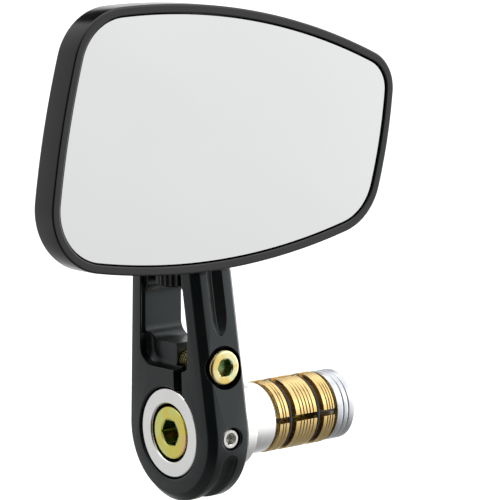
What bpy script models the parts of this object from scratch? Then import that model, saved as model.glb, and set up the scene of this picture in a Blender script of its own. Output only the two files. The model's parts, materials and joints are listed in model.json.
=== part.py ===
"""Bar-end bicycle mirror.

Frame: +X runs into the handlebar (towards the middle of the bike), +Y is forwards, +Z is up.
The origin is the centre of the shoulder that seats on the end of the handlebar.
Lengths are written in millimetres and turned into metres when a mesh is made.
"""
from math import atan, atan2, cos, hypot, pi, radians, sin, sqrt, tan

import bmesh
import bpy
from mathutils import Vector

MM = 0.001
GAP = 0.3

# Clamp arm: a flat machined bar that stands up from a clamping eye.
ARM_X0 = -19.3
ARM_X1 = -6.8
ARM_MID = (ARM_X0 + ARM_X1) / 2
ARM_CHAMFER = 1.85
INNER_CHAMFER = 1.4
EYE_Y = -0.3
EYE_Z = 0.3
EYE_R = 17.3
SHOULDER_Z = 39.5
SHOULDER_R = 3.0
SHOULDER_Y = (-9.4, 11.2)
ARM_TOP_Z = 56.0
ARM_TOP_R = 8.5
EYE_BORE_R = 11.45

# Window in the arm and the pockets round it on the outer face: (y, z, corner radius).
POCKET_DEPTH = 1.2
POCKET = (
    (-8.3, 16.0, 2.4),
    (10.4, 16.0, 4.2),
    (8.9, 42.9, 2.0),
    (-6.6, 42.9, 2.0),
    (-8.9, 25.5, 6.0),
)
WINDOW = (
    (-8.5, 22.0, 3.2),
    (9.95, 22.0, 3.6),
    (9.2, 36.8, 4.5),
    (-7.0, 36.8, 4.5),
    (-8.8, 25.5, 1.5),
)
LOWER_DEPTH = 3.1
LOWER_COVE = 1.8
LOWER_Y = (-8.4, 10.2)
LOWER_Z = (16.0, 24.0)
SLIT_Y = (-6.25, -2.95)
SLIT_Z = (8.0, 18.0)
NOTCH_Y = (-8.4, -0.6)
NOTCH_Z = (16.6, 23.6)

# Grooves that run along the edges of the arm, centred on its thickness.
FLUTE_R = 2.35
FLUTE_RUNOUT = 6.0
REAR_FLUTE = ((-13.55, 31.0), (-12.0, 42.5))
FRONT_FLUTE = ((14.85, 31.0), (13.9, 42.5))
EYE_GROOVE_DEPTH = 1.85
EYE_GROOVE_ARC = (202.0, 340.0)

# Screws of the clamp.
PINCH_Z = 17.35
PINCH_HEAD_R = 4.35
PINCH_HEAD_Y = -15.7
PINCH_HEAD_H = 5.0
PINCH_SEAT_R = 5.3
GRUB_Y = -17.0
M5_R = 2.5
M5_HOLE_R = 2.8

# Ball pivot inside the top of the arm.
PIVOT_Y = 1.0
PIVOT_Z = 53.0
PIVOT_BORE_R = 5.0
PLUG_R = 4.7
BALL_R = 4.5
SOCKET_R = 4.8
SIDE_HOLE_R = 5.0
WHEEL_R = 6.2
WHEEL_Z = (36.1, 42.2)
WHEEL_TEETH = 24
WHEEL_SLOT_Z = 34.0
SPRING_Z = (44.5, 45.4)
SPRING_H = 0.6
LOWER_SEAT_Z = (46.3, 51.4)
UPPER_SEAT_Z = (54.6, 59.4)
CAP_Z = (59.7, 63.0)
LOCK_NUT_Y = (-14.9, -12.5)
LOCK_NUT_FLATS = 10.0
STUD_HOLE_R = 3.3

# Bushing, bolt and expander that hold the mirror in the bar.
BUSH_X0 = -19.0
BUSH_R = 11.1
SPIGOT_R = 8.8
BOLT_R = 4.0
BOLT_HOLE_R = 4.35
BOLT_HEAD_R = 6.5
COUNTERBORE_R = 7.25
COUNTERBORE_X = -8.9
WASHER_X = (-10.4, -9.2)
WASHER_R = 6.9
CONE_SLOPE = 0.5
CONE_START = 7.6
CONE_LENGTH = 4.4
CONE_R = 7.2
SEGMENT_R = 9.0
SEGMENT_X = (8.5, 26.5)
SEGMENT_BORE_R = 5.0
NUT_X = (23.0, 33.4)
RING_X = (12.5, 21.4)
RING_R = 8.2
RING_WIRE_R = 0.55

# Mirror head: side arcs as (centre x, centre z, radius), in the order top, right, bottom, left.
SIDE_ARCS = (
    (-43.3, -55.9, 163.7),
    (-89.7, 97.3, 125.15),
    (-22.4, 218.3, 175.0),
    (161.2, 27.4, 232.7),
)
# Corner radii between those arcs: top left, top right, bottom right, bottom left.
CORNER_R = (14.8, 9.8, 14.9, 15.2)
RIM_Y = -25.0
RIM_WIDTH = 2.1
WALL_END_Y = -18.15
BACK_Y = -17.15
CROWN_Y = -16.35
BOSS_Y = -15.2
FLOOR_Y = -20.4
GLASS_Y = (-24.5, -22.5)
GLASS_CROWN = 0.5
PAD_INSET = 4.6
BOSS_R = 7.5


def clear_scene():
    """Empty the file."""
    for obj in list(bpy.data.objects):
        bpy.data.objects.remove(obj, do_unlink=True)
    for mesh in list(bpy.data.meshes):
        bpy.data.meshes.remove(mesh)
    for mat in list(bpy.data.materials):
        bpy.data.materials.remove(mat)


def material(name, colour, roughness, metallic):
    """A plain Principled material."""
    mat = bpy.data.materials.new(name)
    mat.use_nodes = True
    shader = mat.node_tree.nodes["Principled BSDF"]
    shader.inputs["Base Color"].default_value = (*colour, 1.0)
    shader.inputs["Roughness"].default_value = roughness
    shader.inputs["Metallic"].default_value = metallic
    mat.diffuse_color = (*colour, 1.0)
    return mat


def make_object(name, bm, mat, origin=(0.0, 0.0, 0.0)):
    """Turn a bmesh written in millimetres into an object whose origin is the given point."""
    bmesh.ops.translate(bm, vec=-Vector(origin), verts=bm.verts)
    bmesh.ops.scale(bm, vec=(MM, MM, MM), verts=bm.verts)
    bmesh.ops.recalc_face_normals(bm, faces=bm.faces)
    mesh = bpy.data.meshes.new(name)
    bm.to_mesh(mesh)
    bm.free()
    obj = bpy.data.objects.new(name, mesh)
    obj.location = Vector(origin) * MM
    bpy.context.scene.collection.objects.link(obj)
    if mat is not None:
        mesh.materials.append(mat)
    return obj


def loft(rings, closed=False):
    """Join rings of equal length; the end rings are capped unless the loft closes on itself."""
    bm = bmesh.new()
    loops = [[bm.verts.new(p) for p in ring] for ring in rings]
    count = len(rings[0])
    pairs = list(zip(loops, loops[1:]))
    if closed:
        pairs.append((loops[-1], loops[0]))
    for low, high in pairs:
        for i in range(count):
            j = (i + 1) % count
            bm.faces.new((low[i], low[j], high[j], high[i]))
    if not closed:
        bm.faces.new(loops[0])
        bm.faces.new(list(reversed(loops[-1])))
    return bm


def around(axis, centre, along, radius, angle):
    """Point at a radius and angle round an axis."""
    a = radius * cos(angle)
    b = radius * sin(angle)
    if axis == "X":
        return Vector((along, centre[0] + a, centre[1] + b))
    if axis == "Y":
        return Vector((centre[0] + a, along, centre[1] + b))
    return Vector((centre[0] + a, centre[1] + b, along))


def turned(axis, centre, profile, segments=40, tube=False, phase=0.0):
    """Solid of revolution from (position along the axis, radius) pairs."""
    rings = []
    for along, radius in profile:
        angles = [phase + 2 * pi * i / segments for i in range(segments)]
        rings.append([around(axis, centre, along, radius, a) for a in angles])
    return loft(rings, closed=tube)


def prism_x(outline, x0, x1):
    """Straight prism along X from a (y, z) outline."""
    return loft([[Vector((x, y, z)) for y, z in outline] for x in (x0, x1)])


def box(x, y, z):
    """Box from three (low, high) pairs."""
    return prism_x([(y[0], z[0]), (y[1], z[0]), (y[1], z[1]), (y[0], z[1])], x[0], x[1])


def rounded_polygon(corners, steps=6):
    """Outline in (y, z) from (y, z, radius) corners in order round the shape."""
    points = []
    count = len(corners)
    for i, (y, z, r) in enumerate(corners):
        here = Vector((y, z))
        before = (Vector(corners[i - 1][:2]) - here).normalized()
        after = (Vector(corners[(i + 1) % count][:2]) - here).normalized()
        half = before.angle(after) / 2
        middle = here + (before + after).normalized() * (r / sin(half))
        start = here + before * (r / tan(half)) - middle
        stop = here + after * (r / tan(half)) - middle
        first = atan2(start.y, start.x)
        turn = (atan2(stop.y, stop.x) - first + pi) % (2 * pi) - pi
        for k in range(steps + 1):
            a = first + turn * k / steps
            points.append((middle.x + r * cos(a), middle.y + r * sin(a)))
    return points


def cut(obj, bm, operation="DIFFERENCE"):
    """Subtract (or add) a shape written in millimetres in the frame of the whole mirror."""
    tool = make_object("cutter", bm, None)
    tool.hide_render = True
    tool.display_type = "WIRE"
    modifier = obj.modifiers.new("cut", "BOOLEAN")
    modifier.operation = operation
    modifier.solver = "EXACT"
    modifier.object = tool
    bpy.context.view_layer.update()
    graph = bpy.context.evaluated_depsgraph_get()
    mesh = bpy.data.meshes.new_from_object(obj.evaluated_get(graph))
    obj.modifiers.clear()
    old = obj.data
    obj.data = mesh
    mesh.name = obj.name
    bpy.data.meshes.remove(old)
    tool_mesh = tool.data
    bpy.data.objects.remove(tool, do_unlink=True)
    bpy.data.meshes.remove(tool_mesh)


def finish(obj, angle=32.0):
    """Smooth shading with sharp edges kept."""
    mesh = obj.data
    mesh.polygons.foreach_set("use_smooth", [True] * len(mesh.polygons))
    mesh.set_sharp_from_angle(angle=radians(angle))
    return obj


def hexagon(axis, centre, span, flats, turn=0.0):
    """Hexagonal prism of the given width across flats."""
    radius = flats / sqrt(3)
    return turned(axis, centre, [(span[0], radius), (span[1], radius)], 6, phase=turn)


def flute(start, end, segments=16, rows=5):
    """Round bar between two (y, z) points, with a long run-out at the start and a ball at the end."""
    a = Vector((ARM_MID, *start))
    b = Vector((ARM_MID, *end))
    way = (b - a).normalized()
    side = Vector((1.0, 0.0, 0.0))
    up = way.cross(side)
    stations = []
    for i in range(1, rows + 1):
        t = 0.5 * pi * i / rows
        stations.append((a - way * FLUTE_RUNOUT * cos(t), FLUTE_R * sin(t)))
    for i in range(rows):
        t = 0.5 * pi * i / rows
        stations.append((b + way * FLUTE_R * sin(t), FLUTE_R * cos(t)))
    turns = [2 * pi * i / segments for i in range(segments)]
    return loft([[c + (side * cos(t) + up * sin(t)) * r for t in turns] for c, r in stations])


def curved_groove(radius, start, stop, steps=20, segments=14):
    """Round bar bent about the eye's axis, with ball ends."""
    stations = []
    tip = FLUTE_R / radius
    for i in range(5):
        t = 0.5 * pi * (i + 1) / 5
        stations.append((start - tip * cos(t), FLUTE_R * sin(t)))
    for i in range(1, steps):
        stations.append((start + (stop - start) * i / steps, FLUTE_R))
    for i in range(5):
        t = 0.5 * pi * i / 5
        stations.append((stop + tip * sin(t), FLUTE_R * cos(t)))
    rings = []
    for angle, r in stations:
        out = Vector((0.0, cos(angle), sin(angle)))
        centre = Vector((ARM_MID, EYE_Y, EYE_Z)) + out * radius
        side = Vector((1.0, 0.0, 0.0))
        turns = [2 * pi * i / segments for i in range(segments)]
        rings.append([centre + (side * cos(t) + out * sin(t)) * r for t in turns])
    return loft(rings)


def arm_outline(inset, count=80):
    """Hull of the eye, two shoulders and the round top, pulled in by the inset."""
    circles = (
        (EYE_Y, EYE_Z, EYE_R),
        (SHOULDER_Y[0], SHOULDER_Z, SHOULDER_R),
        (SHOULDER_Y[1], SHOULDER_Z, SHOULDER_R),
        (PIVOT_Y, ARM_TOP_Z, ARM_TOP_R),
    )
    points = []
    for i in range(count):
        a = 2 * pi * (i + 0.5) / count
        y, z, r = max(circles, key=lambda c: c[0] * cos(a) + c[1] * sin(a) + c[2])
        points.append((y + (r - inset) * cos(a), z + (r - inset) * sin(a)))
    return points


def lower_pocket(rows=5):
    """Deeper pocket under the window, with a cove between its walls and its floor."""
    bottom = ARM_X0 + LOWER_DEPTH
    stations = [(ARM_X0 - 2, 0.0)]
    for i in range(rows + 1):
        t = 0.5 * pi * i / rows
        stations.append((bottom - LOWER_COVE * (1 - sin(t)), LOWER_COVE * (1 - cos(t))))
    rings = []
    for x, inset in stations:
        low_y, high_y = LOWER_Y[0] + inset, LOWER_Y[1] - inset
        low_z, high_z = LOWER_Z[0] + inset, LOWER_Z[1] - inset
        corners = (
            (low_y, low_z, 2.4 - inset),
            (high_y, low_z, 4.2 - inset),
            (high_y, high_z, 0.5),
            (low_y, high_z, 0.5),
        )
        rings.append([Vector((x, y, z)) for y, z in rounded_polygon(corners)])
    return loft(rings)


def build_arm(mat):
    """Clamp arm with its window, slit, grooves, screw holes and pivot bore."""
    c = ARM_CHAMFER
    back = INNER_CHAMFER
    stations = ((ARM_X0, c), (ARM_X0 + c, 0.0), (ARM_X1 - back, 0.0), (ARM_X1, back))
    rings = [[Vector((x, y, z)) for y, z in arm_outline(inset)] for x, inset in stations]
    arm = make_object("clamp_arm", loft(rings), mat)
    through = (ARM_X0 - 2, ARM_X1 + 2)
    cut(arm, turned("X", (0, 0), [(through[0], EYE_BORE_R), (through[1], EYE_BORE_R)], 48))
    cut(arm, prism_x(rounded_polygon(POCKET), ARM_X0 - 2, ARM_X0 + POCKET_DEPTH))
    cut(arm, lower_pocket())
    cut(arm, prism_x(rounded_polygon(WINDOW), *through))
    cut(arm, box(through, NOTCH_Y, NOTCH_Z))
    cut(arm, box(through, SLIT_Y, SLIT_Z))
    wheel_half = WHEEL_R + 0.5
    wheel_slot = (PIVOT_Y - wheel_half, PIVOT_Y + wheel_half)
    cut(arm, box(through, wheel_slot, (WHEEL_SLOT_Z, WHEEL_Z[1] + 0.4)))
    pivot = (ARM_MID, PIVOT_Y)
    cut(arm, turned("Z", pivot, [(40.0, PIVOT_BORE_R), (70.0, PIVOT_BORE_R)], 32))
    side_hole = (ARM_MID, PIVOT_Z)
    cut(arm, turned("Y", side_hole, [(-20.0, SIDE_HOLE_R), (0.0, SIDE_HOLE_R)], 32))
    cut(arm, flute(*REAR_FLUTE))
    cut(arm, flute(*FRONT_FLUTE))
    start, stop = EYE_GROOVE_ARC
    cut(arm, curved_groove(EYE_R + FLUTE_R - EYE_GROOVE_DEPTH, radians(start), radians(stop)))
    pinch = (ARM_MID, PINCH_Z)
    under_head = PINCH_HEAD_Y + PINCH_HEAD_H + GAP
    cut(arm, turned("Y", pinch, [(-20.0, M5_HOLE_R), (10.6, M5_HOLE_R)], 24))
    cut(arm, turned("Y", pinch, [(-20.0, PINCH_SEAT_R), (under_head, PINCH_SEAT_R)], 36))
    cut(arm, turned("Y", (ARM_MID, 0.0), [(-20.0, M5_HOLE_R), (-8.0, M5_HOLE_R)], 24))
    return finish(arm)


def cap_screw(name, axis, centre, face, head_r, head_h, shank_r, tip, flats, mat):
    """Socket-head screw; the head's face is at `face` and the shank ends at `tip`."""
    way = 1.0 if tip > face else -1.0
    under = face + way * head_h
    profile = [
        (face, head_r - 0.4),
        (face + way * 0.4, head_r),
        (under - way * 0.2, head_r),
        (under, head_r - 0.2),
        (under, shank_r),
        (tip - way * 0.8, shank_r),
        (tip, shank_r - 0.8),
    ]
    origin = tuple(around(axis, centre, face, 0.0, 0.0))
    screw = make_object(name, turned(axis, centre, profile, 36), mat, origin)
    cut(screw, hexagon(axis, centre, (face - way, face + way * head_h * 0.55), flats, pi / 6))
    return finish(screw)


def build_set_screw(mat, tip_mat):
    """Grub screw in the eye, with a soft tip that bears on the bushing."""
    centre = (ARM_MID, 0.0)
    profile = [(GRUB_Y, 2.2), (GRUB_Y + 0.3, M5_R), (-12.8, M5_R), (-12.4, 2.1)]
    screw = turned("Y", centre, profile, 28)
    screw = make_object("set_screw", screw, mat, (ARM_MID, GRUB_Y, 0.0))
    cut(screw, hexagon("Y", centre, (GRUB_Y - 1.0, GRUB_Y + 2.4), 2.5, pi / 6))
    finish(screw)
    pad = turned("Y", centre, [(-12.1, 2.1), (-11.45, 2.1)], 28)
    finish(make_object("set_screw_tip", pad, tip_mat, (ARM_MID, -12.1, 0.0)))


def build_pivot(steel, seat_mat, spring_mat, cap_mat, wheel_mat):
    """Ball, seats, springs, thumbwheel and cap that live in the arm's vertical bore."""
    centre = (ARM_MID, PIVOT_Y)
    pivot = (ARM_MID, PIVOT_Y, PIVOT_Z)
    bm = bmesh.new()
    bmesh.ops.create_uvsphere(bm, u_segments=24, v_segments=12, radius=BALL_R)
    bmesh.ops.translate(bm, vec=pivot, verts=bm.verts)
    ball = make_object("pivot_ball", bm, steel, pivot)
    hole = (ARM_MID, PIVOT_Z)
    cut(ball, turned("Y", hole, [(-8.0, 2.3), (-1.2, 2.3)], 20))
    finish(ball)
    for name, span in (("lower_seat", LOWER_SEAT_Z), ("upper_seat", UPPER_SEAT_Z)):
        seat = make_object(name, turned("Z", centre, [(z, PLUG_R) for z in span]), seat_mat, pivot)
        bm = bmesh.new()
        bmesh.ops.create_uvsphere(bm, u_segments=24, v_segments=12, radius=SOCKET_R)
        bmesh.ops.translate(bm, vec=pivot, verts=bm.verts)
        cut(seat, bm)
        cut(seat, box((ARM_MID - 2.7, ARM_MID + 2.7), (-6.0, PIVOT_Y), (49.3, 56.7)))
        finish(seat)
    for number, low in enumerate(SPRING_Z):
        name = "disc_spring_%d" % (number + 1)
        top = low + SPRING_H
        profile = [(low, 4.6), (top, 4.6), (top, 2.4), (low, 2.4)]
        finish(make_object(name, turned("Z", centre, profile, 32, True), spring_mat, (*centre, low)))
    low, high = CAP_Z
    cap_profile = [(low, PLUG_R), (high - 0.4, PLUG_R), (high, PLUG_R - 0.4)]
    cap = make_object("pivot_cap", turned("Z", centre, cap_profile), cap_mat, (*centre, low))
    cut(cap, hexagon("Z", centre, (high - 1.8, high + 1.0), 5.0))
    finish(cap)
    ridges = []
    low, high = WHEEL_Z
    for inset, z in ((0.5, low), (0.0, low + 0.5), (0.0, high - 0.5), (0.5, high)):
        ring = []
        for i in range(2 * WHEEL_TEETH):
            r = WHEEL_R - inset - (0.45 if i % 2 else 0.0)
            ring.append(around("Z", centre, z, r, pi * i / WHEEL_TEETH))
        ridges.append(ring)
    wheel = make_object("adjuster_wheel", loft(ridges), wheel_mat, (*centre, low))
    cut(wheel, turned("Z", centre, [(41.0, PLUG_R), (43.9, PLUG_R), (44.2, PLUG_R - 0.3)]), "UNION")
    finish(wheel, 20.0)


def build_stud(steel, nut_mat):
    """Threaded stud from the ball to the head, with its lock nut."""
    centre = (ARM_MID, PIVOT_Z)
    profile = [(-1.6, 2.0), (-5.0, 2.0), (-5.3, 2.2), (-11.0, 2.2), (-11.6, 3.0)]
    profile += [(-17.5, 3.0), (-18.0, 2.5)]
    origin = (ARM_MID, PIVOT_Y, PIVOT_Z)
    finish(make_object("pivot_stud", turned("Y", centre, profile, 28), steel, origin))
    nut = hexagon("Y", centre, LOCK_NUT_Y, LOCK_NUT_FLATS)
    nut = make_object("stud_lock_nut", nut, nut_mat, origin)
    cut(nut, turned("Y", centre, [(-16.0, STUD_HOLE_R), (-11.0, STUD_HOLE_R)], 24))
    finish(nut)


def bushing_cone_radius(x):
    """Radius of the bushing's end cone at x."""
    return CONE_R - CONE_SLOPE * (x - CONE_START)


def build_bushing(mat):
    """Polished bushing: eye journal, bolt counterbore, shoulder, spigot and end cone."""
    end = CONE_START + CONE_LENGTH
    profile = [
        (BUSH_X0, BUSH_R - 0.3),
        (BUSH_X0 + 0.3, BUSH_R),
        (0.0, BUSH_R),
        (0.0, SPIGOT_R),
        (CONE_START, SPIGOT_R),
        (CONE_START, CONE_R),
        (end, bushing_cone_radius(end)),
        (end, BOLT_HOLE_R),
        (COUNTERBORE_X, BOLT_HOLE_R),
        (COUNTERBORE_X, COUNTERBORE_R),
        (BUSH_X0 + 0.3, COUNTERBORE_R),
        (BUSH_X0, COUNTERBORE_R + 0.3),
    ]
    finish(make_object("bushing", turned("X", (0, 0), profile, 48, True), mat))


def build_cone_nut(mat):
    """Threaded cone that the bolt pulls back into the segments."""
    low, high = NUT_X
    shoulder = low + CONE_LENGTH
    profile = [
        (low, CONE_R - CONE_SLOPE * CONE_LENGTH),
        (shoulder, CONE_R),
        (shoulder, SPIGOT_R),
        (high - 0.6, SPIGOT_R),
        (high, SPIGOT_R - 0.6),
        (high, BOLT_HOLE_R),
        (low, BOLT_HOLE_R),
    ]
    finish(make_object("cone_nut", turned("X", (0, 0), profile, 40, True), mat, (low, 0.0, 0.0)))


def build_segments(mat):
    """Four expander jaws that the two cones push outwards."""
    lean = GAP / cos(atan(CONE_SLOPE))
    low, high = SEGMENT_X
    end_r = bushing_cone_radius(low) + lean
    taper = (end_r - SEGMENT_BORE_R) / CONE_SLOPE
    profile = [(low, end_r), (low, SEGMENT_R - 0.3), (low + 0.3, SEGMENT_R)]
    for x in RING_X:
        profile += [(x - 0.85, SEGMENT_R), (x - 0.85, 7.3), (x + 1.45, 7.3), (x + 1.45, SEGMENT_R)]
    profile += [(high - 0.3, SEGMENT_R), (high, SEGMENT_R - 0.3), (high, end_r)]
    profile += [(high - taper, SEGMENT_BORE_R), (low + taper, SEGMENT_BORE_R)]
    middle = (low + high) / 2
    for number in range(4):
        mid_angle = radians(45 + 90 * number)
        angles = [mid_angle + radians(80) * (i / 10 - 0.5) for i in range(11)]
        rings = [[around("X", (0, 0), x, r, a) for x, r in profile] for a in angles]
        origin = tuple(around("X", (0, 0), middle, 7.0, mid_angle))
        finish(make_object("expander_jaw_%d" % (number + 1), loft(rings), mat, origin))


def build_rings(mat):
    """Two elastic rings that keep the jaws together."""
    for number, x in enumerate(RING_X):
        turns = [2 * pi * i / 8 for i in range(8)]
        profile = [(x + RING_WIRE_R * cos(t), RING_R + RING_WIRE_R * sin(t)) for t in turns]
        ring = turned("X", (0, 0), profile, 28, True)
        finish(make_object("jaw_ring_%d" % (number + 1), ring, mat, (x, 0.0, 0.0)), 60.0)


def corner_centre(index):
    """Centre of the fillet between side arc index - 1 and side arc index."""
    x1, z1, r1 = SIDE_ARCS[index - 1]
    x2, z2, r2 = SIDE_ARCS[index]
    r = CORNER_R[index]
    a = r1 - r
    b = r2 - r
    d = hypot(x2 - x1, z2 - z1)
    along = (d * d + a * a - b * b) / (2 * d)
    across = sqrt(a * a - along * along)
    ex, ez = (x2 - x1) / d, (z2 - z1) / d
    centres = []
    for side in (across, -across):
        centres.append((x1 + ex * along - ez * side, z1 + ez * along + ex * side))
    return min(centres, key=lambda p: hypot(p[0] + 17.0, p[1] - 75.0))


def head_outline(inset, side_steps=9, corner_steps=6):
    """Head outline in (x, z), clockwise from the top left corner, pulled in by the inset."""
    centres = [corner_centre(i) for i in range(4)]
    points = []
    for i in range(4):
        x, z, r = SIDE_ARCS[i]
        px, pz, _ = SIDE_ARCS[i - 1]
        cx, cz = centres[i]
        nx, nz = centres[(i + 1) % 4]
        first = atan2(cz - pz, cx - px)
        start = atan2(cz - z, cx - x)
        stop = atan2(nz - z, nx - x)
        turn = (first - start) % (2 * pi)
        for k in range(corner_steps):
            a = first - turn * k / corner_steps
            points.append((cx + (CORNER_R[i] - inset) * cos(a), cz + (CORNER_R[i] - inset) * sin(a)))
        turn = (start - stop) % (2 * pi)
        for k in range(side_steps):
            a = start - turn * k / side_steps
            points.append((x + (r - inset) * cos(a), z + (r - inset) * sin(a)))
    return points


def head_ring(inset, y):
    """Head outline as points at the depth y."""
    return [Vector((x, y, z)) for x, z in head_outline(inset)]


def build_shell(mat):
    """Machined tray of the mirror head, with a boss for the stud on its back."""
    rings = [
        head_ring(RIM_WIDTH, FLOOR_Y),
        head_ring(RIM_WIDTH, RIM_Y + 0.2),
        head_ring(RIM_WIDTH - 0.2, RIM_Y),
        head_ring(0.5, RIM_Y),
        head_ring(0.15, RIM_Y + 0.15),
        head_ring(0.0, RIM_Y + 0.5),
        head_ring(0.0, WALL_END_Y),
        head_ring(0.3, WALL_END_Y + 0.7),
        head_ring(1.0, BACK_Y),
        head_ring(9.0, CROWN_Y),
    ]
    origin = (ARM_MID, PIVOT_Y, PIVOT_Z)
    shell = make_object("mirror_shell", loft(rings), mat, origin)
    centre = (ARM_MID, PIVOT_Z)
    boss = [(-18.0, BOSS_R), (BOSS_Y - 0.4, BOSS_R), (BOSS_Y, BOSS_R - 0.4)]
    cut(shell, turned("Y", centre, boss, 36), "UNION")
    cut(shell, turned("Y", centre, [(-18.3, STUD_HOLE_R), (-14.0, STUD_HOLE_R)], 24))
    return finish(shell)


def build_glass(mat, pad_mat):
    """Slightly domed mirror glass and the foam pad that bonds it to the shell."""
    origin = (ARM_MID, PIVOT_Y, PIVOT_Z)
    front, back = GLASS_Y
    edge = head_outline(RIM_WIDTH + GAP)
    mid_x = sum(p[0] for p in edge) / len(edge)
    mid_z = sum(p[1] for p in edge) / len(edge)
    rings = [[Vector((x, back, z)) for x, z in edge]]
    rings.append([Vector((x, front + 0.2, z)) for x, z in edge])
    for share in (0.995, 0.75, 0.45, 0.15):
        y = front - GLASS_CROWN * (1 - share * share)
        ring = []
        for x, z in edge:
            ring.append(Vector((mid_x + share * (x - mid_x), y, mid_z + share * (z - mid_z))))
        rings.append(ring)
    finish(make_object("mirror_glass", loft(rings), mat, origin))
    pad = [head_ring(PAD_INSET, FLOOR_Y - GAP), head_ring(PAD_INSET, back + GAP)]
    finish(make_object("glass_pad", loft(pad), pad_mat, origin))


def main():
    clear_scene()
    black = material("black_anodised", (0.022, 0.023, 0.024), 0.38, 0.85)
    head_black = material("head_anodised", (0.020, 0.021, 0.022), 0.36, 0.85)
    polished = material("polished_aluminium", (0.86, 0.86, 0.87), 0.16, 1.0)
    yellow = material("yellow_zinc", (0.83, 0.66, 0.30), 0.26, 1.0)
    stainless = material("stainless_steel", (0.62, 0.61, 0.59), 0.28, 1.0)
    nut_steel = material("zinc_steel", (0.58, 0.59, 0.60), 0.34, 1.0)
    spring_steel = material("spring_steel", (0.34, 0.34, 0.36), 0.36, 1.0)
    wheel_black = material("wheel_anodised", (0.030, 0.031, 0.033), 0.34, 0.85)
    cap_black = material("cap_anodised", (0.026, 0.027, 0.028), 0.36, 0.85)
    acetal = material("white_acetal", (0.80, 0.79, 0.75), 0.45, 0.0)
    nylon = material("nylon_tip", (0.72, 0.70, 0.62), 0.5, 0.0)
    brass = material("jaw_brass", (0.70, 0.50, 0.22), 0.32, 1.0)
    rubber = material("black_rubber", (0.02, 0.02, 0.02), 0.7, 0.0)
    foam = material("grey_foam", (0.16, 0.16, 0.17), 0.9, 0.0)
    mirror = material("mirror_silver", (0.92, 0.93, 0.93), 0.02, 1.0)
    build_arm(black)
    cap_screw("pinch_screw", "Y", (ARM_MID, PINCH_Z), PINCH_HEAD_Y, PINCH_HEAD_R, PINCH_HEAD_H,
              M5_R, 9.4, 4.0, yellow)
    build_set_screw(stainless, nylon)
    build_pivot(stainless, acetal, spring_steel, cap_black, wheel_black)
    build_stud(nut_steel, nut_steel)
    build_bushing(polished)
    cap_screw("centre_bolt", "X", (0.0, 0.0), BUSH_X0 + 0.3, BOLT_HEAD_R, 8.0, BOLT_R, 36.5,
              6.0, yellow)
    low, high = WASHER_X
    washer = [(low, WASHER_R), (high, WASHER_R), (high, BOLT_HOLE_R), (low, BOLT_HOLE_R)]
    finish(make_object("bolt_washer", turned("X", (0, 0), washer, 36, True), nut_steel))
    build_cone_nut(nut_steel)
    build_segments(brass)
    build_rings(rubber)
    build_shell(head_black)
    build_glass(mirror, foam)


main()
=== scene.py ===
"""Looks of the bar-end bicycle mirror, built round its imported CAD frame."""

import json
from math import atan, atan2, cos, hypot, pi, radians, sin, sqrt, tan

import bmesh
import bpy
from mathutils import Matrix, Vector


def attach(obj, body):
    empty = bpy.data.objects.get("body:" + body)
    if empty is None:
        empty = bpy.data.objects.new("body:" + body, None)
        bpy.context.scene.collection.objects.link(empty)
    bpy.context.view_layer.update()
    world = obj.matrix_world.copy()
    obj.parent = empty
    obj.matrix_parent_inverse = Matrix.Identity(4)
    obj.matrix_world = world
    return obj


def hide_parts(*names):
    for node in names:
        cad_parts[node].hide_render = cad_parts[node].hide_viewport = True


MM = 0.001

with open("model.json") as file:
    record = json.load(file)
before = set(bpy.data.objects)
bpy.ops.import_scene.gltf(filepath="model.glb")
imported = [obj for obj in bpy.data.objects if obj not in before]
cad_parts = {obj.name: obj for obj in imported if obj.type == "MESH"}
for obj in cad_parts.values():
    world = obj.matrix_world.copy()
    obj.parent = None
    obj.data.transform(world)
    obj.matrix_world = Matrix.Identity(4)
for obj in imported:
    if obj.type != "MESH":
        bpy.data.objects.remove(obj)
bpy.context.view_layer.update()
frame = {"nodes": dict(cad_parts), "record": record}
RECORD = frame["record"]
SLOTS = {part["node"]: part["material_slot"] for part in RECORD["subparts"]}
BODIES = {n: body for body, nodes in RECORD["behaviour"]["bodies"].items() for n in nodes}

# ---------------------------------------------------------------- dimensions of the part (mm)
ARM_X0 = -19.3
ARM_X1 = -6.8
ARM_MID = (ARM_X0 + ARM_X1) / 2
ARM_CHAMFER = 1.85
INNER_CHAMFER = 1.4
EYE_Y = -0.3
EYE_Z = 0.3
EYE_R = 17.3
SHOULDER_Z = 39.5
SHOULDER_R = 3.0
SHOULDER_Y = (-9.4, 11.2)
ARM_TOP_Z = 56.0
ARM_TOP_R = 8.5
EYE_BORE_R = 11.45
POCKET_DEPTH = 1.2
POCKET = (
    (-8.3, 16.0, 2.4),
    (10.4, 16.0, 4.2),
    (8.9, 42.9, 2.0),
    (-6.6, 42.9, 2.0),
    (-8.9, 25.5, 6.0),
)
WINDOW = (
    (-8.5, 22.0, 3.2),
    (9.95, 22.0, 3.6),
    (9.2, 36.8, 4.5),
    (-7.0, 36.8, 4.5),
    (-8.8, 25.5, 1.5),
)
LOWER_DEPTH = 3.1
LOWER_COVE = 1.8
LOWER_Y = (-8.4, 10.2)
LOWER_Z = (16.0, 24.0)
SLIT_Y = (-6.25, -2.95)
SLIT_Z = (8.0, 18.0)
NOTCH_Y = (-8.4, -0.6)
NOTCH_Z = (16.6, 23.6)
FLUTE_RUNOUT = 6.0
FLUTE_HALF = 2.3
FLUTE_DEPTH = 1.3
FLUTE_SECTION = (   # across and down, as shares of the half width and the depth
    (-1.5, -0.5), (-1.0, 0.0), (-0.10, 0.93), (-0.04, 0.99), (0.04, 0.99), (0.10, 0.93),
    (1.0, 0.0), (1.5, -0.5), (0.0, -2.5),
)
REAR_FLUTE = ((-13.55, 31.0), (-12.0, 42.5))
FRONT_FLUTE = ((14.85, 31.0), (13.9, 42.5))
EYE_GROOVE_R = 2.35
EYE_GROOVE_DEPTH = 1.85
EYE_GROOVE_ARC = (202.0, 340.0)
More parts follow.
